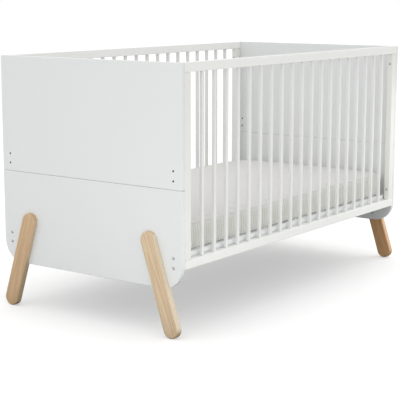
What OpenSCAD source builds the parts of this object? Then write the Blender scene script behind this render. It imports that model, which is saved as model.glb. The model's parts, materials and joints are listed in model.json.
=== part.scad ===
// Cot bed with two-piece end boards, slatted side frames and splayed wooden legs.
// Millimetres. Length runs along X, width along Y and height along Z. The floor is Z = 0,
// the head end is -X and the front is -Y. Both ends and both sides are alike.

/* [Mattress] */
// Length of the mattress, which sets the length of the bed
mattress_l = 1400; // [1190:10:1600]
// Width of the mattress, which sets the width of the bed
mattress_w = 700; // [600:10:800]
// Thickness of the mattress
mattress_t = 95; // [60:5:150]
// Radius of the mattress's upright corners
mattress_corner_r = 55; // [30:5:90]
// Radius along the mattress's top and bottom edges
mattress_edge_r = 16; // [5:1:25]
// Gap between each end of the mattress and its end board
mattress_end_gap = 5; // [4:0.5:15]
// Gap between each side of the mattress and its side frame
mattress_side_gap = 16; // [4:1:30]

/* [End boards] */
// Thickness of the end boards
board_t = 15; // [14:1:22]
// Height of the lower board, from its bottom edge to the seam
lower_board_h = 320; // [260:5:380]
// Height of the upper board, from the seam to the top of the bed
upper_board_h = 395; // [345:5:450]
// Clear height under the end boards
board_bottom = 155; // [110:5:190]
// Radius of the lower board's bottom corners
board_corner_r = 80; // [40:5:120]
// Radius of the boards' other corners
board_small_r = 4; // [3.5:0.5:12]
// Radius along the edges of the boards
board_edge_r = 2; // [1:0.5:3]
// Distance of the base's bolt holes from the board's upright edges
hole_inset = 35; // [33:1:45]
// Distance between the two bolt holes of a pair
hole_pitch = 32; // [26:1:34]
// Middle of the low pair of holes, above the lower board's bottom edge
low_hole_z = 88; // [80:1:140]
// Middle of the high pair of holes, above the seam
high_hole_z = 44; // [25:1:70]

/* [Side frames] */
// Height of a side frame, down from the top of the bed
frame_h = 648; // [560:4:700]
// Thickness of the rails and stiles
frame_t = 22; // [20:1:30]
// Height of the rails
rail_h = 30; // [24:1:45]
// Width of the stiles
stile_w = 32; // [24:1:50]
// Radius along the edges of the rails and stiles
frame_edge_r = 2.5; // [1:0.5:4]
// Slats in each side frame
slat_count = 19; // [12:1:19]
// Width of a slat, along the bed
slat_w = 12; // [9:1:24]
// Depth of a slat, across the bed
slat_d = 12; // [9:1:16]
// Radius along the edges of a slat
slat_edge_r = 3; // [1:0.5:4]
// Gap between a stile and the slat next to it
slat_end_gap = 65; // [45:1:65]
// Depth of the sockets that the slats and stiles seat in
socket_depth = 10; // [6:1:14]
// Thickness of a stile's tenon
tenon_t = 10; // [8:1:14]
// Width of a stile's tenon
tenon_w = 18; // [12:1:22]

/* [Legs] */
// Width of a leg
leg_w = 57; // [44:1:70]
// Length of a leg, from round end to round end
leg_l = 350; // [320:5:390]
// Full thickness of a leg
leg_t = 25; // [22:1:34]
// Depth of the lap that the end board sits in
lap_depth = 8; // [4:1:9]
// Tilt of a leg away from upright
splay = 18; // [8:1:22]
// Distance from the board's upright edge to the middle of the foot
foot_inset = 37; // [30:1:90]
// Radius along the edges of a leg
leg_edge_r = 4; // [1:0.5:6]
// Distance from the middle of a leg's round top to its upper bolt
leg_bolt_from_top = 29; // [20:1:40]
// Distance between a leg's two bolts
leg_bolt_pitch = 100; // [60:1:102]

/* [Mattress base] */
// Height of the base's rails
base_rail_h = 50; // [46:1:64]
// Thickness of the base's rails
base_rail_t = 20; // [17:1:22]
// Slats in the base
base_slat_count = 13; // [9:1:16]
// Width of a base slat
base_slat_w = 53; // [35:1:60]
// Thickness of a base slat
base_slat_t = 10; // [7:1:14]
// Length of a base slat that rests in its notch at each end
base_slat_seat = 10; // [6:1:12]
// Radius along the edges of the base's rails and slats
base_edge_r = 1.5; // [0.5:0.5:3]

/* [Fixings] */
// Diameter of the bolts
bolt_d = 6; // [5:0.5:8]
// Diameter of a bolt's head
bolt_head_d = 10.5; // [9:0.5:13]
// Height of a bolt's head
bolt_head_h = 3.3; // [2:0.1:4.2]
// Width across the flats of the hexagon in a bolt's head
bolt_hex = 4; // [3:0.5:5]
// Depth of the hexagon
bolt_hex_depth = 2; // [1:0.1:2.4]
// Diameter of the barrel nuts in the base's rails
nut_d = 10; // [9:0.5:12]
// Distance from a base rail's end to the middle of its barrel nuts
nut_inset = 28; // [20:1:40]
// Length of a base bolt beyond the middle of its barrel nut
bolt_past_nut = 8; // [6:1:12]
// Diameter of the threaded inserts in the boards and legs
insert_d = 9; // [8:0.5:11]
// Length of the threaded inserts
insert_l = 12; // [8:1:13]
// Distance from the edge of a rail to the middle of the nearest stile bolt
frame_bolt_inset = 40; // [25:1:60]

/* [Clearances] */
// Radial clearance of a bolt in a drilled hole
bolt_clearance = 0.25; // [0.1:0.05:0.5]
// Radial clearance of a bolt in a nut or insert
thread_clearance = 0.05; // [0.02:0.01:0.1]
// Clearance around a slat, tenon, nut or insert in its socket
socket_clearance = 0.15; // [0.05:0.05:0.4]
// Clearance between the base and each side frame
base_clearance = 3; // [1:0.5:8]
// Clearance between the mattress and the base
mattress_clearance = 0.3; // [0.1:0.1:0.6]

/* [Hidden] */
$fn = 48;
white = [0.93, 0.94, 0.93];
base_white = [0.86, 0.88, 0.88];
timber = [0.80, 0.66, 0.48];
steel = [0.55, 0.56, 0.58];
cover_white = [0.95, 0.94, 0.92];

inner_l = mattress_l + 2 * mattress_end_gap;
inner_w = mattress_w + 2 * mattress_side_gap;
bed_l = inner_l + 2 * board_t;
bed_w = inner_w + 2 * frame_t;
seam_z = board_bottom + lower_board_h;
bed_h = seam_z + upper_board_h;
frame_bottom = bed_h - frame_h;
stile_z = frame_bottom + rail_h;
stile_l = frame_h - 2 * rail_h;
frame_y = bed_w / 2 - frame_t / 2;
stile_x = inner_l / 2 - stile_w / 2;
slat_row = inner_l - 2 * (stile_w + slat_end_gap) - slat_w;
slat_pitch = slat_row / (slat_count - 1);

hole_y = bed_w / 2 - hole_inset;
low_z = board_bottom + low_hole_z;
high_z = seam_z + high_hole_z;
base_top = low_z + base_rail_h / 2;
base_rail_y = inner_w / 2 - base_clearance - base_rail_t / 2;
base_inner_w = 2 * base_rail_y - base_rail_t;
base_slat_l = base_inner_w + 2 * base_slat_seat;
base_bay = inner_l - 2 * base_rail_t;
base_slat_gap = (base_bay - base_slat_count * base_slat_w) / (base_slat_count + 1);

leg_r = leg_w / 2;
leg_proud = leg_t - lap_depth;
foot_y = bed_w / 2 - foot_inset;
bolt_r = bolt_d / 2;
thread_in_insert = insert_l - 1;

ends = [-1, 1];
bolt_steps = [-hole_pitch / 2, hole_pitch / 2];
leg_bolt_steps = [leg_bolt_from_top, leg_bolt_from_top + leg_bolt_pitch];

slat_names = [for (side = ["front", "back"], i = [1 : slat_count]) str(side, "_slat_", i)];

// ---- Shapes that repeat ----

// Rectangle x by y about the origin, with round corners
module round_rect(x, y, r) {
    square([x - 2 * r, y], center = true);
    square([x, y - 2 * r], center = true);
    for (sx = ends, sy = ends)
        translate([sx * (x / 2 - r), sy * (y / 2 - r)]) circle(r);
}

// Half of a plate's cross-section: from X = 0 out to its round edge at X = reach
module rim(reach, t, r) {
    intersection() {
        translate([0, -t / 2]) square([reach, t]);
        round_rect(2 * reach, t, r);
    }
}

// Straight strip along Y, from Y = 0, with its round edge towards +X
module rim_strip(reach, length, t, r) {
    translate([0, length, 0]) rotate([90, 0, 0]) linear_extrude(length) rim(reach, t, r);
}

// Plate in the XY plane, w by h, centred on X with its bottom edge on Y = 0. Its edges are
// round all the way, and its bottom and top corners have radii of their own.
module plate(w, h, t, bottom_r, top_r, edge_r) {
    translate([0, bottom_r, 0])
        for (side = [0, 1])
            mirror([side, 0, 0]) rim_strip(w / 2, h - bottom_r - top_r, t, edge_r);
    plate_end(w, bottom_r, t, edge_r);
    translate([0, h, 0]) mirror([0, 1, 0]) plate_end(w, top_r, t, edge_r);
}

// End of a plate below its corners' centres, on Y = 0
module plate_end(w, corner_r, t, edge_r) {
    flat = w - 2 * corner_r;
    for (side = [0, 1])
        mirror([side, 0, 0]) translate([flat / 2, corner_r, 0])
            rotate(-90) rotate_extrude(angle = 90) rim(corner_r, t, edge_r);
    if (flat > 0)
        translate([-flat / 2, corner_r, 0]) rotate(-90) rim_strip(corner_r, flat, t, edge_r);
}

// Stands a plate up across the bed: its X runs along Y and its Y runs up
module stand_across(x) {
    translate([x, 0, 0]) rotate([90, 0, 90]) children();
}

// Bar along X, centred, with round edges
module bar(length, depth, height, r) {
    rotate([90, 0, 90])
        translate([0, 0, -length / 2]) linear_extrude(length) round_rect(depth, height, r);
}

// Bolt along +X, with the underside of its round head at the origin
module bolt(length) {
    rotate([0, 90, 0]) {
        cylinder(h = length, r = bolt_r);
        difference() {
            rotate_extrude() bolt_head_profile();
            translate([0, 0, -bolt_head_h - 1])
                cylinder(h = bolt_hex_depth + 1, r = bolt_hex / sqrt(3), $fn = 6);
        }
    }
}

// Half outline of a bolt's domed head, below Y = 0
module bolt_head_profile() {
    head_r = bolt_head_d / 2;
    dome_r = (head_r * head_r + bolt_head_h * bolt_head_h) / (2 * bolt_head_h);
    intersection() {
        translate([0, -bolt_head_h]) square([head_r, bolt_head_h]);
        translate([0, dome_r - bolt_head_h]) circle(dome_r, $fn = 96);
    }
}

// Drilled hole for a bolt, along X and through the origin
module bolt_hole(length) {
    translate([-length / 2, 0, 0]) rotate([0, 90, 0])
        cylinder(h = length, r = bolt_r + bolt_clearance);
}

// Threaded insert along +X, from its open end at the origin
module insert() {
    rotate([0, 90, 0])
        difference() {
            cylinder(h = insert_l, d = insert_d);
            translate([0, 0, -1]) cylinder(h = insert_l + 2, r = bolt_r + thread_clearance);
        }
}

// Blind hole that an insert seats in
module insert_socket() {
    translate([-1, 0, 0]) rotate([0, 90, 0])
        cylinder(h = insert_l + 1, d = insert_d + 2 * socket_clearance);
}

// Barrel nut across the bed at the origin, drilled for a bolt along X
module barrel_nut() {
    difference() {
        rotate([90, 0, 0]) cylinder(h = base_rail_t - 4, d = nut_d, center = true);
        rotate([0, 90, 0])
            cylinder(h = nut_d + 2, r = bolt_r + thread_clearance, center = true);
    }
}

// ---- Where the fixings go ----

// Places children at a leg's two bolts, with +X pointing out of the bed
module at_leg_bolts(end, side) {
    for (step = leg_bolt_steps)
        place_leg(end, side) translate([0, leg_l - leg_r - step, lap_depth])
            rotate([0, -90, 0]) children();
}

// Places children at the stile bolts of one end, with +X pointing out of the bed
module at_frame_bolts(end) {
    for (side = ends, z = [stile_z + frame_bolt_inset, stile_z + stile_l - frame_bolt_inset])
        translate([end * inner_l / 2, side * frame_y, z]) rotate(end > 0 ? 0 : 180) children();
}

// Places children at one pair of base bolts on each edge of an end, with +X pointing in
module at_base_bolts(end, z) {
    for (side = ends, step = bolt_steps)
        translate([end * bed_l / 2, side * hole_y, z + step])
            rotate(end > 0 ? 180 : 0) children();
}

// Moves a leg's plate to its place: its back lies on the lap and its foot is on the floor
module place_leg(end, side) {
    mirror([end < 0 ? 1 : 0, 0, 0]) mirror([0, side < 0 ? 1 : 0, 0])
        translate([bed_l / 2 - lap_depth, foot_y, leg_r]) rotate([splay, 0, 0])
            rotate([90, 0, 90]) translate([0, -leg_r, 0]) children();
}

// ---- End boards ----

module upper_board(end) {
    color(white)
        difference() {
            stand_across(end * (bed_l - board_t) / 2) translate([0, seam_z, 0])
                plate(bed_w, upper_board_h, board_t, board_small_r, board_small_r, board_edge_r);
            at_base_bolts(end, high_z) bolt_hole(4 * board_t);
            at_frame_bolts(end) insert_socket();
        }
}

module lower_board(end) {
    color(white)
        difference() {
            stand_across(end * (bed_l - board_t) / 2) translate([0, board_bottom, 0])
                plate(bed_w, lower_board_h, board_t, board_corner_r, board_small_r, board_edge_r);
            at_base_bolts(end, low_z) bolt_hole(4 * board_t);
            at_frame_bolts(end) insert_socket();
            for (side = ends) at_leg_bolts(end, side) bolt_hole(4 * board_t);
        }
}

// ---- Legs ----

module leg(end, side) {
    color(timber)
        difference() {
            place_leg(end, side) translate([0, 0, leg_t / 2])
                plate(leg_w, leg_l, leg_t, leg_r, leg_r, leg_edge_r);
            stand_across(end * (bed_l - board_t) / 2) translate([0, board_bottom + bed_h / 2, 0])
                linear_extrude(board_t, center = true) round_rect(bed_w, bed_h, board_corner_r);
            at_leg_bolts(end, side) insert_socket();
        }
}

// ---- Side frames ----

// X of the slat with this number, counted from the head end
function slat_x(i) = -slat_row / 2 + (i - 1) * slat_pitch;

// Cross-section of a slat, grown by a clearance
module slat_section(grow) {
    round_rect(slat_w + 2 * grow, slat_d + 2 * grow, slat_edge_r + grow);
}

// Sockets for the slats and tenons, cut into a rail from Z = 0 to a depth
module frame_sockets(depth) {
    linear_extrude(depth) {
        for (i = [1 : slat_count]) translate([slat_x(i), 0]) slat_section(socket_clearance);
        for (end = ends)
            translate([end * stile_x, 0])
                square([tenon_w + 2 * socket_clearance, tenon_t + 2 * socket_clearance],
                       center = true);
    }
}

module bottom_rail(side) {
    color(white) translate([0, side * frame_y, frame_bottom])
        difference() {
            translate([0, 0, rail_h / 2]) bar(inner_l, frame_t, rail_h, frame_edge_r);
            translate([0, 0, rail_h - socket_depth]) frame_sockets(socket_depth + 1);
        }
}

module top_rail(side) {
    color(white) translate([0, side * frame_y, bed_h - rail_h])
        difference() {
            translate([0, 0, rail_h / 2]) bar(inner_l, frame_t, rail_h, frame_edge_r);
            translate([0, 0, -1]) frame_sockets(socket_depth + socket_clearance + 1);
        }
}

module stile(end, side) {
    color(white)
        difference() {
            translate([end * stile_x, side * frame_y, stile_z]) {
                linear_extrude(stile_l) round_rect(stile_w, frame_t, frame_edge_r);
                translate([0, 0, stile_l / 2])
                    cube([tenon_w, tenon_t, stile_l + 2 * socket_depth], center = true);
            }
            at_frame_bolts(end) bolt_hole(3 * stile_w);
        }
}

module slat(side, i) {
    color(white) translate([slat_x(i), side * frame_y, stile_z - socket_depth])
        linear_extrude(stile_l + 2 * socket_depth) slat_section(0);
}

// ---- Mattress base ----

// X of the base slat with this number, counted from 0 at the head end
function base_slat_x(i) =
    -base_bay / 2 + base_slat_gap + base_slat_w / 2 + i * (base_slat_w + base_slat_gap);

module base_rails() {
    color(base_white) {
        for (side = ends) base_side_rail(side);
        for (end = ends)
            translate([end * (inner_l - base_rail_t) / 2, 0, low_z]) rotate(90)
                bar(base_inner_w - 2 * socket_clearance, base_rail_t, base_rail_h, base_edge_r);
    }
}

module base_side_rail(side) {
    notch_w = base_slat_w + 2 * socket_clearance;
    notch_l = base_slat_l + 2 * socket_clearance;
    difference() {
        translate([0, side * base_rail_y, low_z])
            bar(inner_l, base_rail_t, base_rail_h, base_edge_r);
        for (i = [0 : base_slat_count - 1])
            translate([base_slat_x(i), 0, base_top])
                cube([notch_w, notch_l, 2 * base_slat_t], center = true);
        for (end = ends) {
            at_base_bolts(end, low_z)
                bolt_hole(2 * (board_t + nut_inset + bolt_past_nut + 1));
            at_base_nuts(end) rotate([90, 0, 0])
                cylinder(h = base_rail_t + 2, d = nut_d + 2 * socket_clearance, center = true);
        }
    }
}

module base_slats() {
    color(base_white)
        for (i = [0 : base_slat_count - 1])
            translate([base_slat_x(i), 0, base_top - base_slat_t / 2]) rotate(90)
                bar(base_slat_l, base_slat_w, base_slat_t, base_edge_r);
}

// Places children at the middles of the barrel nuts of one end
module at_base_nuts(end) {
    for (side = ends, step = bolt_steps)
        translate([end * (inner_l / 2 - nut_inset), side * base_rail_y, low_z + step])
            children();
}

// ---- Mattress ----

module mattress() {
    color(cover_white)
        translate([0, -mattress_w / 2, base_top + mattress_clearance + mattress_t / 2])
            plate(mattress_l, mattress_w, mattress_t,
                  mattress_corner_r, mattress_corner_r, mattress_edge_r);
}

// ---- Fixings ----

module base_bolts() {
    color(steel)
        for (end = ends) {
            at_base_bolts(end, low_z) bolt(board_t + nut_inset + bolt_past_nut);
            at_base_nuts(end) barrel_nut();
        }
}

module frame_bolts() {
    color(steel)
        for (end = ends)
            at_frame_bolts(end) {
                translate([-stile_w, 0, 0]) bolt(stile_w + thread_in_insert);
                insert();
            }
}

module leg_bolts() {
    color(steel)
        for (end = ends, side = ends)
            at_leg_bolts(end, side) {
                translate([-board_t, 0, 0]) bolt(board_t + thread_in_insert);
                insert();
            }
}

// ---- Nodes ----

upper_board(-1);  // head_upper_board
lower_board(-1);  // head_lower_board
upper_board(1);  // foot_upper_board
lower_board(1);  // foot_lower_board

leg(-1, -1);  // head_front_leg
leg(-1, 1);  // head_back_leg
leg(1, -1);  // foot_front_leg
leg(1, 1);  // foot_back_leg

top_rail(-1);  // front_top_rail
bottom_rail(-1);  // front_bottom_rail
stile(-1, -1);  // front_head_stile
stile(1, -1);  // front_foot_stile
top_rail(1);  // back_top_rail
bottom_rail(1);  // back_bottom_rail
stile(-1, 1);  // back_head_stile
stile(1, 1);  // back_foot_stile

for (i = [1 : slat_count]) {
    slat(-1, i);
    slat(1, i);
}

base_rails();
base_slats();
mattress();
base_bolts();
frame_bolts();
leg_bolts();
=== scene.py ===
import json
import math

import bmesh
import bpy
import numpy as np
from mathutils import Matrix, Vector
from mathutils.bvhtree import BVHTree


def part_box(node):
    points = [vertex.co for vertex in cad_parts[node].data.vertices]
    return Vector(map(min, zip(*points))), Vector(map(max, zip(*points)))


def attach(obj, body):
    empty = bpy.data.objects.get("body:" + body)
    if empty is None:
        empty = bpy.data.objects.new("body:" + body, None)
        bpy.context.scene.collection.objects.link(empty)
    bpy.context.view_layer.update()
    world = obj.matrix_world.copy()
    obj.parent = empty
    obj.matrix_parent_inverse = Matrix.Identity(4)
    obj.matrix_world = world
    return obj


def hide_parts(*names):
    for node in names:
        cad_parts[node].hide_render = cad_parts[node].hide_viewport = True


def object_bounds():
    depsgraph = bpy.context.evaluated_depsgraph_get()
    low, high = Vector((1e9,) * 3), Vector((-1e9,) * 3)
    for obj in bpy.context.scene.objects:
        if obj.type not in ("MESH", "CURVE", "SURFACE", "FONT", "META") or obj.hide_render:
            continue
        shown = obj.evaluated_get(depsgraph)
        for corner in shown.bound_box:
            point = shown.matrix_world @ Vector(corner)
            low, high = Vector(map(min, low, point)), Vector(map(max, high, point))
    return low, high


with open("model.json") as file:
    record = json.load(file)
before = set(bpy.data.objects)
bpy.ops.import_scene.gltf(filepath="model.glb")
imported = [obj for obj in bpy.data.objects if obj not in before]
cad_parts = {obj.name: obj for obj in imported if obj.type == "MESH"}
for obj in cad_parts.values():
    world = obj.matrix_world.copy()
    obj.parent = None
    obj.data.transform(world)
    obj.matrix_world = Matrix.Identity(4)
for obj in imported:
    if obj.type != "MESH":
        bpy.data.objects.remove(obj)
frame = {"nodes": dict(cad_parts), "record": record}  # nodes and the imported record
cadLow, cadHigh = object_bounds()
record = frame["record"]
print("frame loaded:", len(frame["nodes"]), "nodes")


# Camera

cameraView = {
    "place": (-3.5597, -2.5280, 1.0752),
    "heading": 36.12,  # degrees from +X towards +Y
    "tilt": -10.0,
    "lens": 105.2,
    "sensor": 36.0,
}


def setCamera():
    data = bpy.data.cameras.new("camera")
    data.sensor_width = cameraView["sensor"]
    data.lens = cameraView["lens"]
    camera = bpy.data.objects.new("camera", data)
    camera.location = cameraView["place"]
    camera.rotation_euler = (
        math.radians(90 + cameraView["tilt"]),
        0,
        math.radians(cameraView["heading"] - 90),
    )
    bpy.context.scene.collection.objects.link(camera)
    bpy.context.scene.camera = camera


setCamera()
print("camera set")


# Shader maths


class Wire:
    # one output of a node: + - * / and the methods below add Math nodes
    def __init__(self, nodes, socket):
        self.nodes, self.socket = nodes, socket

    def maths(self, operation, first, second=0.0):
        return self.nodes.node(
            "ShaderNodeMath", {"operation": operation}, {0: first, 1: second}
        )

    def __add__(self, other):
        return self.maths("ADD", self, other)

    def __sub__(self, other):
        return self.maths("SUBTRACT", self, other)

    def __mul__(self, other):
        return self.maths("MULTIPLY", self, other)

    def __truediv__(self, other):
        return self.maths("DIVIDE", self, other)

    def __radd__(self, other):
        return self.maths("ADD", other, self)

    def __rsub__(self, other):
        return self.maths("SUBTRACT", other, self)

    def __rmul__(self, other):
        return self.maths("MULTIPLY", other, self)

    def __rtruediv__(self, other):
        return self.maths("DIVIDE", other, self)

    def __abs__(self):
        return self.maths("ABSOLUTE", self)

    def fract(self):
        return self.maths("FRACT", self)

    def root(self):
        return self.maths("SQRT", self)

    def least(self, other):
        return self.maths("MINIMUM", self, other)

    def most(self, other):
        return self.maths("MAXIMUM", self, other)

    def rise(self, low, high):
        # 0 below low, 1 above high and a soft step between them
        return self.nodes.node(
            "ShaderNodeMapRange",
            {"interpolation_type": "SMOOTHSTEP"},
            {0: self, 1: low, 2: high, 3: 0.0, 4: 1.0},
        )

    def ridges(self, pitch):
        # 1 half way along each pitch, falling to 0 at its two ends
        return 1 - abs((self / pitch).fract() - 0.5) * 2


class Nodes:
    # a node tree: every value in it that varies is a Wire
    def __init__(self, tree):
        self.tree = tree

    def plug(self, socket, value):
        if isinstance(value, Wire):
            self.tree.links.new(value.socket, socket)
        else:
            socket.default_value = value

    def node(self, kind, settings=None, inputs=None, output=0):
        made = self.tree.nodes.new(kind)
        for name, value in (settings or {}).items():
            setattr(made, name, value)
        for name, value in (inputs or {}).items():
            self.plug(made.inputs[name], value)
        return Wire(self, made.outputs[output])

    def place(self):
        return self.node("ShaderNodeTexCoord", output="Object")

    def mapped(self, vector, scale=(1, 1, 1), location=(0, 0, 0), turn=(0, 0, 0)):
        return self.node(
            "ShaderNodeMapping",
            {},
            {"Vector": vector, "Scale": scale, "Location": location, "Rotation": turn},
        )

    def parts(self, vector):
        made = self.node("ShaderNodeSeparateXYZ", {}, {0: vector})
        outputs = made.socket.node.outputs
        return [Wire(self, outputs[i]) for i in range(3)]

    def grain(self, vector, scale, detail=2.0, rough=0.5):
        return self.node(
            "ShaderNodeTexNoise",
            {},
            {"Vector": vector, "Scale": scale, "Detail": detail, "Roughness": rough},
        )

    def mix(self, share, first, second):
        return self.node(
            "ShaderNodeMix",
            {"data_type": "RGBA", "clamp_factor": True},
            {0: share, 6: opaque(first), 7: opaque(second)},
            output=2,
        )

    def shades(self, share, colour, span):
        # the colour, from darker to lighter by the two shares of it in span
        dark, light = span
        return self.mix(share, shade(colour, dark), shade(colour, light))

    def bump(self, height, depth, strength):
        return self.node(
            "ShaderNodeBump",
            {},
            {"Height": height, "Distance": depth, "Strength": strength},
        )


def opaque(colour):
    return colour if isinstance(colour, Wire) else (*colour, 1)


def shade(colour, share):
    return [channel * share for channel in colour]


class Finish(Nodes):
    # a material built round its Principled shader
    def __init__(self, name, **sockets):
        self.material = bpy.data.materials.new(name)
        self.material.use_nodes = True
        super().__init__(self.material.node_tree)
        self.shader = self.tree.nodes["Principled BSDF"]
        self.set(**sockets)

    def set(self, **sockets):
        for name, value in sockets.items():
            words = name.replace("_", " ").title().replace("Ior", "IOR")
            self.plug(self.shader.inputs[words], value)


# Selecting and shaping by hand


def deselectAll():
    if bpy.context.object and bpy.context.object.mode != "OBJECT":
        bpy.ops.object.mode_set(mode="OBJECT")
    bpy.ops.object.select_all(action="DESELECT")


def choosePiece(piece):
    deselectAll()
    piece.select_set(True)
    bpy.context.view_layer.objects.active = piece


def addBlock(name, place, size):
    deselectAll()
    bpy.ops.mesh.primitive_cube_add(size=1, location=place, scale=size)
    bpy.ops.object.transform_apply()
    piece = bpy.context.object
    piece.name = name
    return piece


def openMesh(piece, pick="EDGE"):
    choosePiece(piece)
    bpy.ops.object.mode_set(mode="EDIT")
    bpy.ops.mesh.select_all(action="DESELECT")
    bpy.ops.mesh.select_mode(type=pick)


def closeMesh():
    bpy.ops.object.mode_set(mode="OBJECT")


def chooseEdges(piece, test):
    mesh = bmesh.from_edit_mesh(piece.data)
    for edge in mesh.edges:
        edge.select_set(test(edge.verts[0].co, edge.verts[1].co))
    bmesh.update_edit_mesh(piece.data)


def chooseFaces(piece, test):
    mesh = bmesh.from_edit_mesh(piece.data)
    for face in mesh.faces:
        face.select_set(test(face.normal))
    bmesh.update_edit_mesh(piece.data)


def applied(piece, kind, **settings):
    made = piece.modifiers.new(kind.lower(), kind)
    for name, value in settings.items():
        setattr(made, name, value)
    choosePiece(piece)
    bpy.ops.object.modifier_apply(modifier=made.name)


def getPoints(piece):
    points = np.empty(len(piece.data.vertices) * 3)
    piece.data.vertices.foreach_get("co", points)
    return points.reshape(-1, 3)


def setPoints(piece, points):
    piece.data.vertices.foreach_set("co", points.ravel())
    piece.data.update()


def ease(value, low, high):
    share = np.clip((value - low) / (high - low), 0, 1)
    return share * share * (3 - 2 * share)


# Floor and light

studio = {
    "floorSize": 60.0,
    "floorOpen": (0.60, 0.60, 0.60),  # what the open floor throws back on the bed
    "floorShadeUnder": (0.07, 0.07, 0.07),  # and what the floor under it does: painted shade, a dark colour where the bed shades the floor
    "floorFade": (-0.05, 0.25),  # from one to the other, past the bed's outline
    "floorSeen": (0.60, 0.60, 0.597),  # what the camera sees of it
    "floorGlow": (0.38, 0.38, 0.38),
    "lamps": {  # place, what it aims at, size and power
        "frontCard": ((-0.22, -1.1, 0.05), (-0.1, -0.38, 0.25), (1.7, 0.4), 2.3),
        "footCard": ((1.4, -0.8, 0.45), (1.0, -0.55, 0.0), (0.8, 0.6), 2.6),
        "headCard": ((-2.1, -0.95, 0.10), (-0.4, -0.35, 0.35), (1.0, 0.3), 4.5),
    },
    "wallColour": (1.0, 1.0, 1.0),  # what the camera sees behind the floor
    "skyTint": (1.0, 1.0, 1.0),
    "skyLow": 0.90,  # light on the bed from level with the floor
    "skyHigh": 1.36,  # and from straight above
    "skyAlong": -0.10,  # stronger from the head end
    "skyAcross": 0.08,  # weaker from the front
}


def setSky():
    world = bpy.data.worlds.new("studio")
    world.use_nodes = True
    nodes = Nodes(world.node_tree)
    x, y, z = nodes.parts(nodes.node("ShaderNodeTexCoord", output="Generated"))
    low, high = studio["skyLow"], studio["skyHigh"]
    strength = low + (high - low) * z.most(0.0)
    strength = strength + x * studio["skyAlong"] + y * studio["skyAcross"]
    sky = nodes.tree.nodes["Background"]
    nodes.plug(sky.inputs["Color"], opaque(studio["skyTint"]))
    nodes.plug(sky.inputs["Strength"], strength)
    wall = nodes.node(
        "ShaderNodeBackground", {}, {"Color": opaque(studio["wallColour"])}
    )
    seen = nodes.node("ShaderNodeLightPath")
    light = Wire(nodes, sky.outputs[0])
    both = nodes.node("ShaderNodeMixShader", {}, {0: seen, 1: light, 2: wall})
    nodes.plug(nodes.tree.nodes["World Output"].inputs["Surface"], both)
    bpy.context.scene.world = world
    bpy.context.scene.view_settings.view_transform = "Standard"


def layFloor():
    deselectAll()
    bpy.ops.mesh.primitive_plane_add(size=studio["floorSize"], location=(0, 0, 0))
    floor = bpy.context.object
    floor.name = "floor"
    paper = Finish("floorPaper", roughness=0.9, specular_ior_level=0.1)
    seen = paper.node("ShaderNodeLightPath")
    x, y, z = paper.parts(paper.place())
    outside = (abs(x) - cadHigh.x).most(abs(y) - cadHigh.y)
    outside = outside.rise(*studio["floorFade"])
    # painted shade: the floor throws back little light under the bed, and the open floor's share
    # past its outline
    thrown = paper.mix(outside, studio["floorShadeUnder"], studio["floorOpen"])
    paper.set(
        base_color=paper.mix(seen, thrown, studio["floorSeen"]),
        emission_color=paper.mix(seen, (0, 0, 0), studio["floorGlow"]),
        emission_strength=1.0,
    )
    floor.data.materials.append(paper.material)


def hangLamps():
    for name, (place, aim, size, power) in studio["lamps"].items():
        data = bpy.data.lights.new(name, "AREA")
        data.shape = "RECTANGLE"
        data.size, data.size_y = size
        data.energy = power
        lamp = bpy.data.objects.new(name, data)
        lamp.location = place
        toward = Vector(aim) - Vector(place)
        lamp.rotation_euler = toward.to_track_quat("-Z", "Y").to_euler()
        lamp.visible_camera = False
        bpy.context.scene.collection.objects.link(lamp)


setSky()
layFloor()
hangLamps()
print("studio ready")


# Paint on boards, frames and base

paintLook = {
    "boardColour": (0.712, 0.727, 0.724),
    "railColour": (0.790, 0.795, 0.768),
    # painted light: the back rails take the rail paint made lighter, in place of light falling on
    # them
    "backRailLitColour": (0.835, 0.84, 0.82),
    "stileColour": (0.750, 0.750, 0.715),
    "slatColour": (0.735, 0.74, 0.725),
    "baseColour": (0.80, 0.82, 0.82),
    "bareBoard": (0.23, 0.155, 0.095),  # raw fibreboard in the drilled holes
    "holeFade": (0.0001, 0.0004),  # past a hole's wall, from bare to painted
    "thinPaint": (0.56, 0.52, 0.45),
    "thinFade": (0.0007, 0.0024),  # paint is thin this near an edge
    "thinShare": 0.5,
    "seamShadeTone": (0.40, 0.41, 0.41),  # painted shade: a dark line in the joint of the two boards
    "seamShadeFade": (0.0003, 0.0011),
    "seamShadeShare": 0.8,
    "patch": (34.0, 4.0, 0.6),  # worn patches: scale, detail and roughness
    "patchFade": (0.42, 0.70),
    "speck": (260.0, 2.0, 0.6),
    "speckFade": (0.40, 0.62),
    "boardCloud": (0.985, 1.012),  # darkest and lightest shade of a board
    "boardCloudScale": 2.4,
    "boardRough": 0.34,
    "smearScale": 30.0,  # slow changes in a board's gloss
    "smearRough": 0.08,
    "peelScale": 420.0,  # orange peel of a sprayed board
    "peelDepth": 0.00003,
    "bareRough": 0.4,  # added where a hole is bare, and where paint is thin
    "thinRough": 0.2,
    "timberCloud": (0.975, 1.01),
    "timberCloudScale": 6.0,
    "timberRough": 0.36,
    "fibreAlong": 14.0,  # scale of the timber's grain under its paint
    "fibreAcross": 520.0,
    "fibreShare": 0.4,
    "fibreRough": 0.1,
    "fibreDepth": 0.00006,
}


def edgeDistance(value, faces):
    # how far this coordinate is from the nearest of the faces
    nearest = abs(value - faces[0])
    for face in faces[1:]:
        nearest = nearest.least(abs(value - face))
    return nearest


def edgeWear(coat, first, second):
    # where two faces meet: paint thins there, more in some places than others
    patch = coat.grain(coat.place(), *paintLook["patch"])
    speck = coat.grain(coat.place(), *paintLook["speck"])
    worn = patch.rise(*paintLook["patchFade"]) * speck.rise(*paintLook["speckFade"])
    return worn * (1 - first.most(second).rise(*paintLook["thinFade"]))


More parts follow.
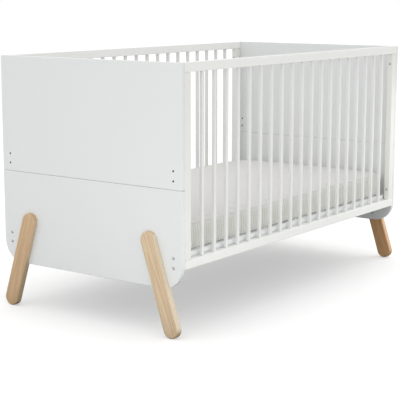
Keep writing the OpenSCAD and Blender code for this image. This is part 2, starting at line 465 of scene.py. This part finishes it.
def holeRows():
    # how far the holes stand to each side, the middle of each pair of them,
    # half the way between the two of a pair, and their radius
    mount = next(m for m in record["mounts"] if m["name"] == "head_base_holes")
    sizes = mount["dims"]
    low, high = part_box("base_bolts")
    middles = (mount["pos_m"][2], (low.z + high.z) / 2)
    halfY = sizes["spacing_x_mm"] / 2000
    halfZ = sizes["spacing_y_mm"] / 2000
    return halfY, middles, halfZ, sizes["hole_r_mm"] / 1000


def bareHoles(y, z):
    # 1 on the walls of the drilled holes
    halfY, middles, halfZ, radius = holeRows()
    start, stop = paintLook["holeFade"]
    across = abs(y) - halfY
    bare = []
    for middle in middles:
        up = abs(z - middle) - halfZ
        far = (across * across + up * up).root()
        bare.append(1 - far.rise(radius + start, radius + stop))
    return bare[0].most(bare[1])


def boardPaint():
    coat = Finish("boardPaint", ior=1.46, coat_weight=0.12, coat_roughness=0.25)
    place = coat.place()
    x, y, z = coat.parts(place)
    bare = bareHoles(y, z)
    low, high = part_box("head_upper_board")
    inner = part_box("foot_upper_board")[0].x
    thick = edgeDistance(abs(x), (inner, -low.x))
    rim = edgeDistance(abs(y), (high.y,)).least(edgeDistance(z, (low.z, high.z)))
    wear = edgeWear(coat, thick, rim)
    # painted shade along the joint where the upper board meets the lower one
    seamShade = 1 - abs(z - low.z).rise(*paintLook["seamShadeFade"])
    cloud = coat.grain(place, paintLook["boardCloudScale"], 3.0)
    tone = coat.shades(cloud, paintLook["boardColour"], paintLook["boardCloud"])
    tone = coat.mix(seamShade * paintLook["seamShadeShare"], tone, paintLook["seamShadeTone"])
    tone = coat.mix(wear * paintLook["thinShare"], tone, paintLook["thinPaint"])
    smear = coat.grain(place, paintLook["smearScale"])
    rough = paintLook["boardRough"] + smear * paintLook["smearRough"]
    rough = rough + bare * paintLook["bareRough"] + wear * paintLook["thinRough"]
    peel = coat.grain(place, paintLook["peelScale"], 2.0, 0.6)
    coat.set(
        base_color=coat.mix(bare, tone, paintLook["bareBoard"]),
        roughness=rough,
        normal=coat.bump(peel, paintLook["peelDepth"], 0.5),
    )
    return coat.material


def timberPaint(name, colour, along, edges=()):
    # satin paint over sawn timber: the grain just shows through along the piece;
    # edges are the two axes, each with its faces, that its long edges lie between
    coat = Finish(name, ior=1.46, coat_weight=0.1, coat_roughness=0.3)
    place = coat.place()
    scale = [paintLook["fibreAcross"]] * 3
    scale["XYZ".index(along)] = paintLook["fibreAlong"]
    fibres = coat.grain(coat.mapped(place, scale), 1.0, 3.0, 0.6)
    cloud = coat.grain(place, paintLook["timberCloudScale"])
    share = paintLook["fibreShare"]
    share = cloud * (1 - share) + fibres * share
    tone = coat.shades(share, paintLook[colour], paintLook["timberCloud"])
    rough = paintLook["timberRough"] + fibres * paintLook["fibreRough"]
    if edges:
        x, y, z = coat.parts(place)
        values = {"X": abs(x), "Y": abs(y), "Z": z}
        wear = edgeWear(coat, *(edgeDistance(values[a], faces) for a, faces in edges))
        tone = coat.mix(wear * paintLook["thinShare"], tone, paintLook["thinPaint"])
        rough = rough + wear * paintLook["thinRough"]
    coat.set(
        base_color=tone,
        roughness=rough,
        normal=coat.bump(fibres, paintLook["fibreDepth"], 0.55),
    )
    return coat.material


# Oiled timber of the legs

legLook = {
    "splay": 18.0,
    "ringPitch": 0.0034,
    "pithDepth": 0.062,  # from the leg's middle to the heart of the tree
    "pithDrift": 0.010,  # more of it towards the top of the leg
    "pithAside": 0.013,
    "pithStep": 0.007,  # less of it from one leg to the next
    "plankStep": 3.7,  # each leg is cut from another place of the plank
    "wander": 0.005,  # how far the rings stray from straight
    "waver": 0.0016,  # and how uneven each one is
    "light": (0.66, 0.465, 0.285),
    "dark": (0.53, 0.345, 0.19),
    "darkFade": (0.3, 0.72),
    "late": (0.45, 0.275, 0.14),  # the hard wood at the end of each ring
    "lateFade": (0.45, 0.97),
    "lateShare": 0.5,
    "fibreFade": (0.35, 0.75),
    "fibreShare": 0.22,
    "pore": (0.30, 0.175, 0.085),
    "poreFade": (0.60, 0.68),
    "earlyFade": (0.15, 0.5),  # pores are found up to here in each ring
    "poreShare": 0.7,
    "paintedSideLight": (0.71, 0.61, 0.45),  # painted light: the narrow long sides are made paler, as if lit and glossed
    "paintedSideLightShare": 0.45,
    "endShare": 0.35,  # the cut ends drink more oil
    "rough": 0.47,
    "fibreRough": 0.14,
    "plankAndShadeTints": {  # no two legs come from the same plank; the tints also hold painted shade, which makes the foot end's front leg darker and more orange, while the head end's front leg is made lighter
        "head_front_leg": (1.05, 1.18, 1.32),
        "foot_front_leg": (0.98, 0.83, 0.66),
        "head_back_leg": (0.95, 0.95, 0.92),
        "foot_back_leg": (1.06, 1.08, 1.10),
    },
    "figure": {  # scale of each noise across, through and along the leg
        "drift": (14, 14, 2.2),
        "flow": (60, 60, 5),
        "fibre": (1500, 1500, 22),
        "streak": (230, 230, 7),
        "pores": (2300, 2300, 85),
    },
    "grainDepth": 0.00012,
}


def legTimber(node, number):
    low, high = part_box(node)
    middle = (low + high) / 2
    turn = math.radians(math.copysign(legLook["splay"], -middle.y))
    cosine, sine = math.cos(turn), math.sin(turn)
    turned = Vector(
        (
            middle.x,
            middle.y * cosine - middle.z * sine,
            middle.y * sine + middle.z * cosine,
        )
    )
    wood = Finish("legTimber%d" % number, ior=1.5, coat_weight=0.3, coat_roughness=0.3)
    light, dark, late, pore, paintedSideLight = (
        [c * t for c, t in zip(legLook[name], legLook["plankAndShadeTints"][node])]
        for name in ("light", "dark", "late", "pore", "paintedSideLight")
    )
    place = wood.mapped(wood.place(), location=-turned, turn=(turn, 0, 0))
    start = legLook["plankStep"] * number
    moved = wood.mapped(place, location=(start, start * 0.7, start * 1.3))

    def figure(name, *look):
        return wood.grain(wood.mapped(moved, legLook["figure"][name]), 1.0, *look)

    x, y, z = wood.parts(place)
    stray = (figure("drift") - 0.5) * legLook["wander"]
    depth = x + legLook["pithDepth"] + z * legLook["pithDrift"] + stray
    across = y + (legLook["pithAside"] - legLook["pithStep"] * number) + stray
    radius = (depth * depth + across * across).root()
    radius = radius + (figure("flow") - 0.5) * legLook["waver"]
    ring = (radius / legLook["ringPitch"]).fract()
    lateFrom, lateTo = legLook["lateFade"]
    lateRing = ring.rise(lateFrom, lateTo) * (1 - ring.rise(lateTo, 1.0))
    fibre = figure("fibre", 3.0, 0.65)
    streak = figure("streak", 3.0, 0.6)
    pit = figure("pores", 1.0).rise(*legLook["poreFade"])
    pit = pit * (1 - ring.rise(*legLook["earlyFade"]))
    tone = wood.mix(streak.rise(*legLook["darkFade"]), light, dark)
    tone = wood.mix(lateRing * legLook["lateShare"], tone, late)
    fine = fibre.rise(*legLook["fibreFade"])
    tone = wood.mix(fine * legLook["fibreShare"], tone, late)
    facing = wood.node("ShaderNodeTexCoord", output="Normal")
    faceX, faceY, faceZ = wood.parts(wood.mapped(facing, turn=(turn, 0, 0)))
    # painted light and sheen on the leg's narrow long sides, found by which way each face points
    narrow = abs(faceY).rise(0.55, 0.95) * (1 - abs(faceZ).rise(0.3, 0.6))
    tone = wood.mix(narrow * legLook["paintedSideLightShare"], tone, paintedSideLight)
    cutEnd = abs(faceZ).rise(0.60, 0.97)
    tone = wood.mix(cutEnd * legLook["endShare"], tone, late)
    height = fibre * 0.35 - pit * 0.8 - lateRing * 0.15
    wood.set(
        base_color=wood.mix(pit * legLook["poreShare"], tone, pore),
        roughness=legLook["rough"] + fibre * legLook["fibreRough"],
        normal=wood.bump(height, legLook["grainDepth"], 0.6),
    )
    return wood.material


# Zinc-plated steel of the bolts and the zip's slider

steelLook = {
    "light": (0.56, 0.58, 0.585),
    "dark": (0.36, 0.38, 0.385),
    "stainScale": 260.0,
    "rough": 0.26,
    "stainRough": 0.2,
    "brushScale": 1800.0,
    "brushDepth": 0.00002,
}


def platedSteel():
    steel = Finish("platedSteel", metallic=1.0)
    place = steel.place()
    stain = steel.grain(place, steelLook["stainScale"], 3.0)
    brush = steel.grain(place, steelLook["brushScale"])
    steel.set(
        base_color=steel.mix(stain, steelLook["light"], steelLook["dark"]),
        roughness=steelLook["rough"] + stain * steelLook["stainRough"],
        normal=steel.bump(brush, steelLook["brushDepth"], 0.5),
    )
    return steel.material


def dress(node, material):
    slots = frame["nodes"][node].material_slots
    if not slots:
        frame["nodes"][node].data.materials.append(material)
    for slot in slots:
        slot.material = material


def dressFrame(steel):
    topLow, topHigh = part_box("back_top_rail")
    footLow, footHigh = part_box("back_bottom_rail")
    stileLow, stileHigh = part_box("back_foot_stile")
    across = ("Y", (topLow.y, topHigh.y))
    up = ("Z", (topLow.z, topHigh.z, footLow.z, footHigh.z))
    along = ("X", (stileLow.x, stileHigh.x))
    paints = {  # by how a node's name ends, then by how it starts
        "board": boardPaint(),
        "rail": timberPaint("railPaint", "railColour", "X", (across, up)),
        "backRail": timberPaint("backRailLitPaint", "backRailLitColour", "X", (across, up)),
        "stile": timberPaint("stilePaint", "stileColour", "Z", (across, along)),
        "slat": timberPaint("slatPaint", "slatColour", "Z"),
        "rails": timberPaint("basePaintAlong", "baseColour", "X"),
        "slats": timberPaint("basePaintAcross", "baseColour", "Y"),
        "bolts": steel,
    }
    legs = 0
    for node in sorted(frame["nodes"]):
        ending = node.rstrip("0123456789_").split("_")[-1]
        # the back rails get the lighter copy of the rail paint, which is painted light
        if ending == "rail" and node.startswith("back"):
            ending = "backRail"
        if ending == "leg":
            dress(node, legTimber(node, legs))
            legs += 1
        elif ending in paints:
            dress(node, paints[ending])
    print("frame dressed, with", legs, "legs of their own timber")


steel = platedSteel()
dressFrame(steel)


# Mattress: foam in a padded cover

mattressShape = {
    "slack": (0.0045, 0.0035, 0.0),  # the cover starts this much inside the foam's box
    "corner": 0.050,
    "cornerSteps": 10,
    "topShoulder": 0.014,
    "footShoulder": 0.001,
    "shoulderSteps": 6,
    "voxel": 0.008,
    "crown": 0.007,  # rise of the middle of the top over its edges
    "drop": 0.006,  # how far the edges start below the foam's top
    "endDroop": 0.005,  # more fall over the last of the length
    "endSpan": 0.07,
    "waist": 0.002,  # how far the long sides pull in half way
    "pucker": 0.0011,  # folds that run in from the seams
    "puckerPitch": 0.058,
    "puckerReach": 0.045,
    "rumple": 0.0008,  # slow waves over the whole top
    "lowerSeam": 0.0012,  # above the foam's underside
    "upperSeam": 0.013,  # below the foam's top
}

coverCloth = {
    "quality": 4,
    "mass": 0.2,
    "stretch": 14,
    "shear": 7,
    "bend": 1.2,
    "pressure": 4.0,
    "growth": 0.02,  # spare cloth, which puckers by the seams
    "seamPin": 0.7,
    "restBelow": 0.003,  # the underside is held this far up
    "frames": 20,
    "cap": 0.005,  # no point moves further than this
}

foamLow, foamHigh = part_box("mattress")
foamSize = foamHigh - foamLow
foamHalf = foamSize / 2
lowerSeam = foamLow.z + mattressShape["lowerSeam"]
upperSeam = foamHigh.z - mattressShape["upperSeam"]


def blockMattress():
    size = foamSize - 2 * Vector(mattressShape["slack"])
    piece = addBlock("mattressPad", (foamLow + foamHigh) / 2, size)
    openMesh(piece)
    chooseEdges(piece, lambda a, b: abs(a.z - b.z) > size.z / 2)
    bpy.ops.mesh.bevel(
        offset=mattressShape["corner"],
        segments=mattressShape["cornerSteps"],
        affect="EDGES",
    )
    for level, name in ((foamLow.z, "footShoulder"), (foamHigh.z, "topShoulder")):
        chooseEdges(piece, lambda a, b: max(abs(a.z - level), abs(b.z - level)) < 1e-4)
        bpy.ops.mesh.bevel(
            offset=mattressShape[name],
            segments=mattressShape["shoulderSteps"],
            affect="EDGES",
        )
    closeMesh()
    return piece


def coverFolds(x, y):
    # short folds across each edge, and slow waves over the middle
    pitch, reach = mattressShape["puckerPitch"], mattressShape["puckerReach"]
    folds = 0
    for along, across, side in ((x, y, foamHalf.y), (y, x, foamHalf.x)):
        beat = along * (2 * math.pi / pitch)
        wave = np.sin(beat + 1.7 * np.sin(beat * 0.31) + across)  # unevenly apart
        wave *= 0.6 + 0.4 * np.sin(beat * 0.17 + 2.0)  # and unevenly deep
        folds = folds + wave * np.exp(-(side - np.abs(across)) / reach)
    slow = np.sin(x * 9.1 + 2.2 * np.sin(y * 6.3)) * np.sin(y * 11.3 + x * 2.1)
    return mattressShape["pucker"] * folds + mattressShape["rumple"] * slow


def shapeFoam(piece):
    # crowned above and waisted along its sides
    points = getPoints(piece)
    x, y, z = points.T
    alongX, alongY = np.abs(x) / foamHalf.x, np.abs(y) / foamHalf.y
    rise = (z - foamLow.z) / foamSize.z
    dome = (1 - alongX**6) * (1 - alongY**4)
    waist = mattressShape["waist"]
    points[:, 1] -= np.sign(y) * waist * (1 - alongX**2) * alongY
    points[:, 0] -= np.sign(x) * waist * 0.5 * (1 - alongY**2) * alongX
    fall = ease(np.abs(x), foamHalf.x - mattressShape["endSpan"], foamHalf.x)
    fall = mattressShape["drop"] + mattressShape["endDroop"] * fall
    points[:, 2] += rise * (mattressShape["crown"] * dome - fall)
    points[:, 2] += ease(rise, 0.6, 1.0) * coverFolds(x, y)
    setPoints(piece, points)


def pinCover(piece):
    # the underside rests, and the two seams hold the cover in
    level = getPoints(piece)[:, 2]
    near = mattressShape["voxel"] * 0.6
    held = piece.vertex_groups.new(name="held")
    flat = np.flatnonzero(level < foamLow.z + coverCloth["restBelow"])
    seams = np.flatnonzero(
        (np.abs(level - lowerSeam) < near) | (np.abs(level - upperSeam) < near)
    )
    held.add(seams.tolist(), coverCloth["seamPin"], "REPLACE")
    held.add(flat.tolist(), 1.0, "REPLACE")
    return held.name


def inflateCover(piece):
    start = getPoints(piece)
    cloth = piece.modifiers.new("cover", "CLOTH")
    settings = cloth.settings
    settings.quality = coverCloth["quality"]
    settings.mass = coverCloth["mass"]
    settings.tension_stiffness = coverCloth["stretch"]
    settings.compression_stiffness = coverCloth["stretch"]
    settings.shear_stiffness = coverCloth["shear"]
    settings.bending_stiffness = coverCloth["bend"]
    settings.use_pressure = True
    settings.uniform_pressure_force = coverCloth["pressure"]
    settings.effector_weights.gravity = 0
    settings.shrink_min = -coverCloth["growth"]
    settings.vertex_group_mass = pinCover(piece)
    cloth.collision_settings.use_collision = False
    scene = bpy.context.scene
    for step in range(1, coverCloth["frames"] + 1):
        scene.frame_set(step)
    choosePiece(piece)
    bpy.ops.object.modifier_apply(modifier="cover")
    shift = getPoints(piece) - start
    length = np.linalg.norm(shift, axis=1, keepdims=True)
    cap = coverCloth["cap"]
    setPoints(piece, start + shift * cap * np.tanh(length / cap) / (length + 1e-9))
    scene.frame_set(1)
    print("cover moved up to %.1f mm, capped" % (length.max() * 1000))


def makePad():
    piece = blockMattress()
    applied(piece, "REMESH", mode="VOXEL", voxel_size=mattressShape["voxel"])
    shapeFoam(piece)
    inflateCover(piece)
    applied(piece, "SUBSURF", levels=1, render_levels=1)
    piece.vertex_groups.clear()
    bpy.ops.object.shade_smooth()
    print("mattress pad:", len(piece.data.vertices), "points")
    return piece


# Ribbed border and its two seams

borderShape = {
    "ribs": 344,
    "columns": 6,  # points along one rib
    "rows": 11,
    "sink": 0.0004,  # the first and last rows lie this far under the cover
    "proud": 0.0004,
    "rib": 0.0009,
    "grooveSharp": 3,
    "wall": 0.0014,
    "seamRadius": 0.0008,
    "seamOut": 0.3,  # share of its radius that a seam's middle stands out
    "seamPoints": 420,
}

rayStart = 0.05  # a ray onto the cover starts this far outside it


def mattressRound(share):
    # a point of the rounded outline, counted from the middle of a long side,
    # and the way outwards there
    radius = mattressShape["corner"]
    straightX, straightY = foamHalf.x - radius, foamHalf.y - radius
    bend = radius * math.pi / 2
    quarter = straightX + bend + straightY
    run = share * 4 * quarter
    turn, left = int(run // quarter) % 4, run % quarter
    if turn % 2:
        left = quarter - left
    if left < straightX:
        x, y, outX, outY = left, foamHalf.y, 0.0, 1.0
    elif left < straightX + bend:
        angle = (left - straightX) / radius
        outX, outY = math.sin(angle), math.cos(angle)
        x, y = straightX + radius * outX, straightY + radius * outY
    else:
        x, y = foamHalf.x, foamHalf.y - radius - (left - straightX - bend)
        outX, outY = 1.0, 0.0
    signX = 1 if turn in (0, 1) else -1
    signY = 1 if turn in (0, 3) else -1
    return (x * signX, y * signY), (outX * signX, outY * signY)


def wrapPoint(cover, share, level, proud):
    # the cover's surface at this level, moved outwards by proud
    (x, y), (outX, outY) = mattressRound(share)
    start = Vector((x + outX * rayStart, y + outY * rayStart, level))
    spot = cover.ray_cast(start, Vector((-outX, -outY, 0)))[0]
    if spot is None:
        spot = Vector((x, y, level))
    return spot + Vector((outX, outY, 0)) * proud


def makeBorder(cover):
    rows = borderShape["rows"]
    deselectAll()
    bpy.ops.mesh.primitive_circle_add(
        vertices=borderShape["ribs"] * borderShape["columns"], radius=1
    )
    piece = bpy.context.object
    piece.name = "mattressBorder"
    openMesh(piece)
    bpy.ops.mesh.select_all(action="SELECT")
    for row in range(rows - 1):
        bpy.ops.mesh.extrude_edges_move(TRANSFORM_OT_translate={"value": (0, 0, 1)})
    closeMesh()
    ring = getPoints(piece)
    shares = (np.arctan2(ring[:, 0], ring[:, 1]) / (2 * math.pi)) % 1.0
    ups = np.rint(ring[:, 2] - ring[:, 2].min()) / (rows - 1)
    grooves = np.abs(np.cos(math.pi * borderShape["ribs"] * shares))
    heights = 1 - grooves ** borderShape["grooveSharp"]
    prouds = borderShape["proud"] + borderShape["rib"] * heights
    prouds[(ups == 0) | (ups == 1)] = -borderShape["sink"]
    levels = lowerSeam + (upperSeam - lowerSeam) * ups
    points = [wrapPoint(cover, *row) for row in zip(shares, levels, prouds)]
    setPoints(piece, np.array(points))
    layer = piece.data.attributes.new("ribHeight", "FLOAT", "POINT")
    layer.data.foreach_set("value", heights)
    applied(piece, "SOLIDIFY", thickness=borderShape["wall"], offset=-1)
    openMesh(piece)
    bpy.ops.mesh.select_all(action="SELECT")
    bpy.ops.mesh.normals_make_consistent(inside=False)
    closeMesh()
    bpy.ops.object.shade_smooth()
    print("mattress border:", len(piece.data.polygons), "faces")
    return piece


def makeSeam(cover, name, level):
    # a round cord over one edge of the border
    curve = bpy.data.curves.new(name, "CURVE")
    curve.dimensions = "3D"
    curve.bevel_depth = borderShape["seamRadius"]
    curve.bevel_resolution = 2
    line = curve.splines.new("POLY")
    count = borderShape["seamPoints"]
    proud = borderShape["seamRadius"] * borderShape["seamOut"]
    line.points.add(count - 1)
    for i in range(count):
        line.points[i].co = (*wrapPoint(cover, i / count, level, proud), 1)
    line.use_cyclic_u = True
    piece = bpy.data.objects.new(name, curve)
    bpy.context.scene.collection.objects.link(piece)
    choosePiece(piece)
    bpy.ops.object.convert(target="MESH")
    bpy.ops.object.shade_smooth()
    print("mattress seam:", name)
    return bpy.context.object


# Zip, closed along the back, where no small hand reaches it

zipShape = {
    "length": 1.15,
    "level": 0.024,  # above the foam's underside
    "tape": 0.016,
    "tapeSteps": (160, 6),
    "cloth": 0.0009,
    "proud": 0.0023,  # stands just over the ribs
    "tuck": 0.0018,  # the tape's two edges turn in this far under the cover
    "tooth": (0.0011, 0.0016, 0.0034),
    "toothEase": 0.0003,
    "pitch": 0.0026,
    "stagger": 0.0011,
    "sliderFromEnd": 0.012,
    "slider": {  # out from the teeth, up, size and eased edge of each part
        "body": (0.0012, 0, (0.009, 0.0034, 0.0085), 0.0010),
        "bridge": (0.0036, 0, (0.005, 0.0018, 0.0024), 0.0006),
        "tab": (0.0042, -0.011, (0.0045, 0.0011, 0.020), 0.0005),
    },
    "narrowing": 0.62,  # of the body, towards the closed teeth
    "tabRim": 0.0009,
    "tabHollow": 0.0004,
    "smoothAngle": 40,
}

zipLevel = foamLow.z + zipShape["level"]
zipOut = foamHigh.y + zipShape["proud"]


def zipTape():
    columns, rows = zipShape["tapeSteps"]
    place = (0, foamHigh.y, zipLevel)
    deselectAll()
    bpy.ops.mesh.primitive_grid_add(
        x_subdivisions=columns, y_subdivisions=rows, size=1, location=place
    )
    tape = bpy.context.object
    tape.name = "mattressZipTape"
    tape.rotation_euler = (-math.pi / 2, 0, 0)
    tape.scale = (zipShape["length"], zipShape["tape"], 1)
    bpy.ops.object.transform_apply()
    points = getPoints(tape)
    across = (points[:, 2] - zipLevel) / (zipShape["tape"] / 2)
    points[:, 1] += zipShape["proud"] - zipShape["tuck"] * np.abs(across) ** 4
    setPoints(tape, points)
    applied(tape, "SOLIDIFY", thickness=zipShape["cloth"], offset=-1)
    return tape


def zipTeeth():
    # one tooth and its neighbour, set lower, then the row of these pairs
    pitch, length = zipShape["pitch"], zipShape["length"]
    place = (-length / 2, zipOut, zipLevel)
    teeth = addBlock("mattressZipTeeth", place, zipShape["tooth"])
    applied(teeth, "BEVEL", width=zipShape["toothEase"], segments=1)
    openMesh(teeth)
    bpy.ops.mesh.select_all(action="SELECT")
    bpy.ops.mesh.duplicate_move(
        TRANSFORM_OT_translate={"value": (pitch / 2, 0, -zipShape["stagger"])}
    )
    closeMesh()
    applied(
        teeth,
        "ARRAY",
        use_relative_offset=False,
        use_constant_offset=True,
        constant_offset_displace=(pitch, 0, 0),
        count=int(length / pitch),
    )
    return teeth


def zipSlider():
    # body with a bridge on it, and a hollowed pull tab hanging from the bridge
    end = zipShape["length"] / 2 - zipShape["sliderFromEnd"]
    made = []
    for name, (out, up, size, eased) in zipShape["slider"].items():
        piece = addBlock(name, (end, zipOut + out, zipLevel + up), size)
        openMesh(piece, "FACE")
        if name == "body":
            chooseFaces(piece, lambda normal: normal.x < -0.5)
            bpy.ops.transform.resize(value=(1, 1, zipShape["narrowing"]))
        if name == "tab":
            chooseFaces(piece, lambda normal: normal.y > 0.5)
            bpy.ops.mesh.inset(
                thickness=zipShape["tabRim"], depth=-zipShape["tabHollow"]
            )
        closeMesh()
        applied(piece, "BEVEL", width=eased, segments=2)
        made.append(piece)
    choosePiece(made[0])
    for piece in made:
        piece.select_set(True)
    bpy.ops.object.join()
    made[0].name = "mattressZipSlider"
    return made[0]


def ontoCover(cover, piece):
    # carries a straight strip along the back onto the cover's own curve
    points = getPoints(piece)
    for point in points:
        start = Vector((point[0], foamHigh.y + rayStart, zipLevel))
        spot = cover.ray_cast(start, Vector((0, -1, 0)))[0]
        if spot:
            point[1] += spot.y - foamHigh.y
    setPoints(piece, points)


def makeZip(cover):
    made = [build() for build in (zipTape, zipTeeth, zipSlider)]
    for piece in made:
        ontoCover(cover, piece)
        choosePiece(piece)
        angle = math.radians(zipShape["smoothAngle"])
        bpy.ops.object.shade_smooth_by_angle(angle=angle)
    print("mattress zip made")
    return made


# Knitted cover, ribbed border, thread and zip

clothLook = {
    "top": (0.66, 0.65, 0.63),
    "topCloud": (0.97, 1.02),
    "topDeep": 0.86,  # painted shade: tone between the loops, where the knit is hollow
    "border": (0.68, 0.68, 0.635),
    "borderCloud": (0.96, 1.03),
    # painted shade: the tone between the rows of loops
    "borderDeep": 0.84,
    # painted shade in the grooves between the border's ribs
    "grooveShadeTone": 0.62,
    "thread": (0.66, 0.655, 0.63),
    "wale": 0.0021,  # width of one column of knitted loops
    "course": 0.0016,  # height of one row of them
    "loopLean": 0.9,
    "topDepth": 0.00035,
    "borderDepth": 0.0003,
    "cloudScale": 9.0,
    "fuzzScale": 900.0,
    "twist": 0.0028,  # of the thread in the seams
    "twistShades": (0.8, 1),
    "twistDepth": 0.0004,
    "twill": 0.0009,  # of the zip's tape
    "twillShades": (0.82, 1),
    "twillDepth": 0.0002,
    "mottleScale": 700.0,  # of the plastic teeth
    "mottleShades": (0.9, 1),
    "mottleDepth": 0.00003,
}


def knitHeight(across, along):
    # columns of knitted loops: each half of a loop leans the other way
    wale = abs((across / clothLook["wale"]).fract() - 0.5)
    loop = along / clothLook["course"] + wale * clothLook["loopLean"]
    loop = loop.fract() - 0.5
    ridge = 1 - wale * 2
    return (0.5 - abs(loop)) * 1.2 + ridge.root() * 0.6


def knitted(name, tint, sheen):
    # what both knits share: the cloth, its clouded colour and its fuzz
    cloth = Finish(name, sheen_weight=sheen, sheen_roughness=0.5)
    cloth.set(specular_ior_level=0.2)
    place = cloth.place()
    cloud = cloth.grain(place, clothLook["cloudScale"], 3.0)
    fuzz = cloth.grain(place, clothLook["fuzzScale"], 2.0, 0.6)
    tone = cloth.shades(cloud, clothLook[tint], clothLook[tint + "Cloud"])
    return cloth, cloth.parts(place), tone, fuzz


def coverKnit():
    cloth, (x, y, z), tone, fuzz = knitted("mattressCover", "top", 0.15)
    knit = knitHeight(x, y)
    # darker between the loops as painted shade, with some random tone from the fuzz
    deep = shade(clothLook["top"], clothLook["topDeep"])
    cloth.set(
        base_color=cloth.mix((1 - knit) * 0.35 + fuzz * 0.12, tone, deep),
        roughness=0.82 + fuzz * 0.12,
        normal=cloth.bump(knit + fuzz * 0.4, clothLook["topDepth"], 0.7),
    )
    return cloth.material


def borderKnit():
    cloth, (x, y, z), tone, fuzz = knitted("mattressBorder", "border", 0.12)
    step = z.ridges(clothLook["course"])
    deep = shade(clothLook["border"], clothLook["borderDeep"])
    # darker between the rows as painted shade, with some random tone from the fuzz
    tone = cloth.mix((1 - step) * 0.3 + fuzz * 0.15, tone, deep)
    # painted shade: the border is darker in the grooves between its ribs
    rib = cloth.node("ShaderNodeAttribute", {"attribute_name": "ribHeight"}, output=2)
    groove = shade(clothLook["border"], clothLook["grooveShadeTone"])
    cloth.set(
        base_color=cloth.mix((1 - rib.rise(0.0, 0.6)) * 0.55, tone, groove),
        roughness=0.84 + fuzz * 0.1,
        normal=cloth.bump(step * 0.5 + fuzz * 0.4, clothLook["borderDepth"], 0.7),
    )
    return cloth.material


def seamThread():
    thread = Finish("mattressThread", specular_ior_level=0.3)
    x, y, z = thread.parts(thread.place())
    ply = (x + y + z * 2.0).ridges(clothLook["twist"])
    # painted shade: the thread is darker in the grooves of its twist
    thread.set(
        base_color=thread.shades(ply, clothLook["thread"], clothLook["twistShades"]),
        roughness=0.62 + ply * 0.1,
        normal=thread.bump(ply, clothLook["twistDepth"], 0.8),
    )
    return thread.material


def zipTwill():
    tape = Finish("zipTape", specular_ior_level=0.2)
    x, y, z = tape.parts(tape.place())
    ridge = (x + z).ridges(clothLook["twill"])
    # painted shade: the tape is darker in the grooves of its twill
    tape.set(
        base_color=tape.shades(ridge, clothLook["thread"], clothLook["twillShades"]),
        roughness=0.78 + ridge * 0.1,
        normal=tape.bump(ridge, clothLook["twillDepth"], 0.7),
    )
    return tape.material


def zipPlastic():
    tooth = Finish("zipTooth", ior=1.5)
    mottle = tooth.grain(tooth.place(), clothLook["mottleScale"])
    tone = tooth.shades(mottle, clothLook["thread"], clothLook["mottleShades"])
    tooth.set(
        base_color=tone,
        roughness=0.32 + mottle * 0.15,
        normal=tooth.bump(mottle, clothLook["mottleDepth"], 0.5),
    )
    return tooth.material


def makeMattress(steel):
    pad = makePad()
    cover = BVHTree.FromObject(pad, bpy.context.evaluated_depsgraph_get())
    thread = seamThread()
    pieces = [pad, makeBorder(cover), *makeZip(cover)]
    pieces.append(makeSeam(cover, "mattressUpperSeam", upperSeam))
    pieces.append(makeSeam(cover, "mattressLowerSeam", lowerSeam))
    finishes = [coverKnit(), borderKnit(), zipTwill(), zipPlastic(), steel]
    for piece, finish in zip(pieces, finishes + [thread, thread]):
        piece.data.materials.append(finish)
        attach(piece, "mattress")
        "steel" if finish == steel else "mattress_cover"
    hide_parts("mattress")
    print("mattress made")


makeMattress(steel)
